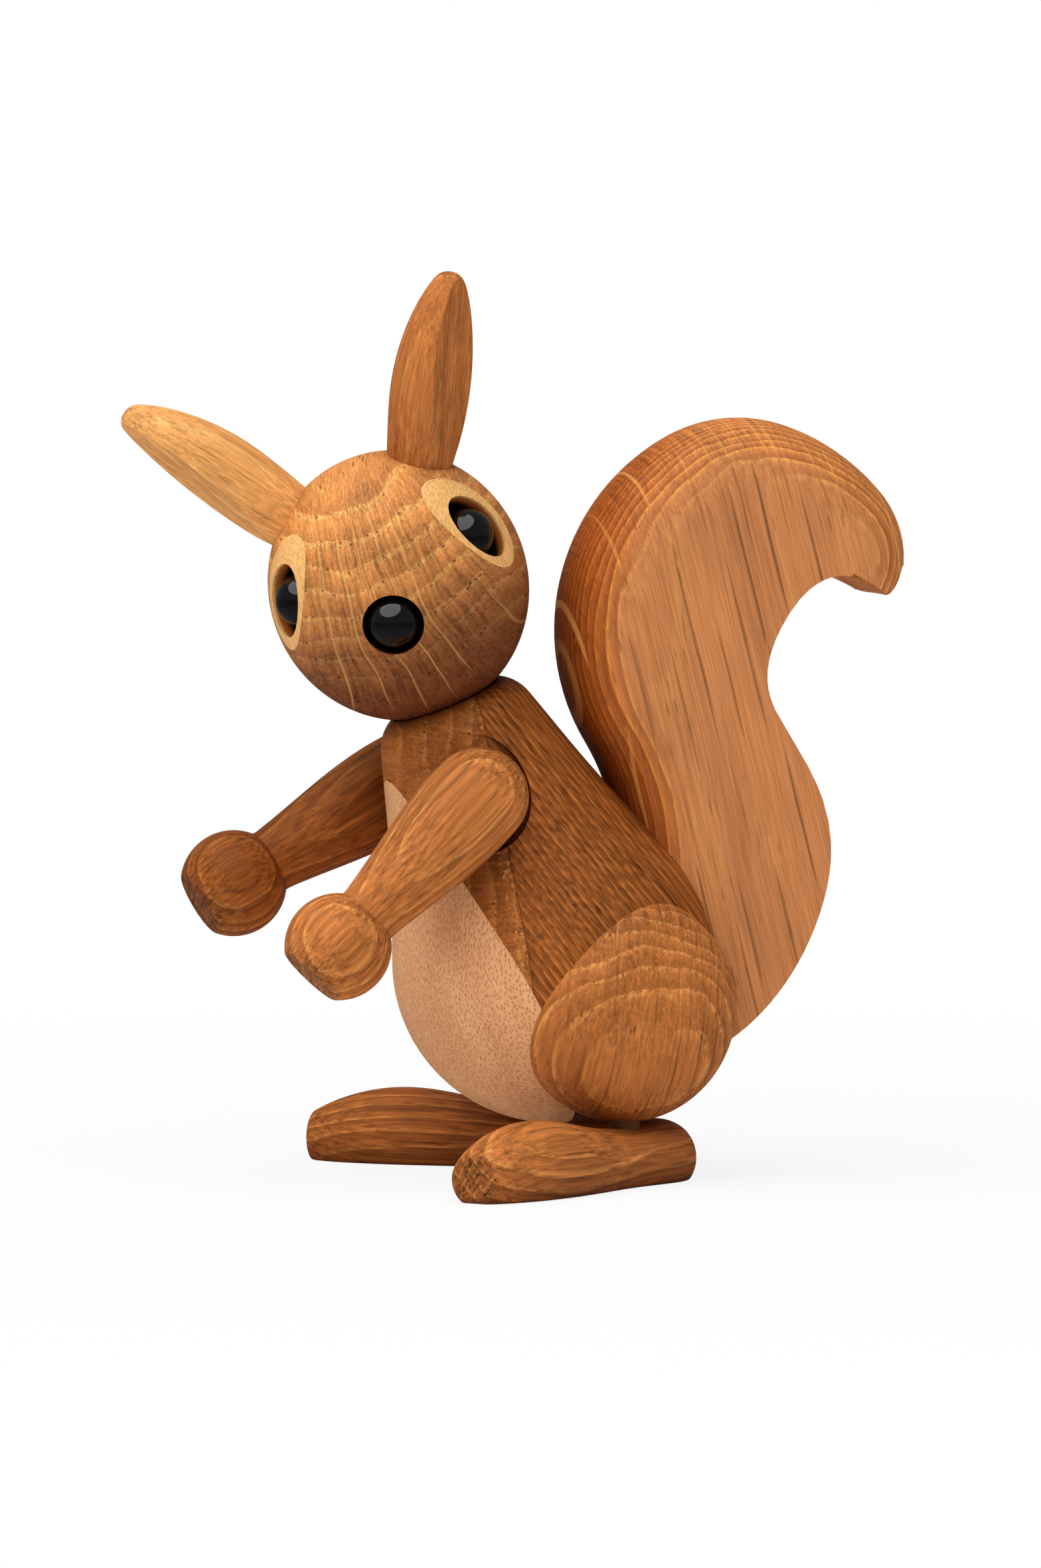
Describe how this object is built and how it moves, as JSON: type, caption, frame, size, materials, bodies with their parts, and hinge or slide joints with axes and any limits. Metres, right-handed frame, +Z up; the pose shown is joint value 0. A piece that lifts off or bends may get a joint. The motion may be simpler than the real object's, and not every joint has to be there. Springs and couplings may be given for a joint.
{
  "type": "squirrel figurine",
  "caption": "Jointed wooden squirrel that stands on splayed feet, with a turning head, swinging arms, swivelling feet, a pale belly inlay and an upright curled plank tail.",
  "frame": {"origin": "on the floor, in the middle of the footprint box", "axes": "+Z up, the squirrel faces -Y and its left side is +X"},
  "size_m": [0.0737, 0.1019, 0.1172],
  "materials": {
    "oak": "oiled satin",
    "maple": "oiled satin",
    "black_bead": "gloss",
    "dowel_wood": "raw",
    "ring_rubber": "matte"
  },
  "bodies": {
    "torso": {"body": "oak", "belly_inlay": "maple", "left_thigh": "oak", "right_thigh": "oak", "tail": "oak", "upper_tail_dowel": "dowel_wood", "lower_tail_dowel": "dowel_wood", "neck_dowel": "dowel_wood", "neck_ring": "ring_rubber", "shoulder_dowel": "dowel_wood", "left_shoulder_ring": "ring_rubber", "right_shoulder_ring": "ring_rubber", "left_foot_dowel": "dowel_wood", "right_foot_dowel": "dowel_wood", "left_foot_ring": "ring_rubber", "right_foot_ring": "ring_rubber"},
    "head": {"head": "oak", "left_ear": "oak", "right_ear": "oak", "left_ear_dowel": "dowel_wood", "right_ear_dowel": "dowel_wood", "left_eye_ring": "maple", "right_eye_ring": "maple", "left_eye": "black_bead", "right_eye": "black_bead", "nose": "black_bead"},
    "left_arm": {"left_arm": "oak"},
    "left_foot": {"left_foot": "oak"},
    "right_arm": {"right_arm": "oak"},
    "right_foot": {"right_foot": "oak"}
  },
  "joints": [
    {"name": "head_turn", "type": "hinge", "parent": "torso", "child": "head", "pos_m": [0, -0.01643, 0.07664], "axis": [0, -0.3923, 0.9198], "continuous": true},
    {"name": "left_arm_swing", "type": "hinge", "parent": "torso", "child": "left_arm", "pos_m": [0.01625, -0.0106, 0.0504], "axis": [-1, 0, 0], "range_deg": [-2, 80]},
    {"name": "left_foot_swivel", "type": "hinge", "parent": "torso", "child": "left_foot", "pos_m": [0.014, 0.0096, 0.005], "axis": [0, 0, 1], "range_deg": [-45, 40]},
    {"name": "right_arm_swing", "type": "hinge", "parent": "torso", "child": "right_arm", "pos_m": [-0.01625, -0.0106, 0.0504], "axis": [-1, 0, 0], "range_deg": [-18, 64]},
    {"name": "right_foot_swivel", "type": "hinge", "parent": "torso", "child": "right_foot", "pos_m": [-0.014, 0.0096, 0.005], "axis": [0, 0, -1], "range_deg": [-42.5, 42.5]}
  ]
}
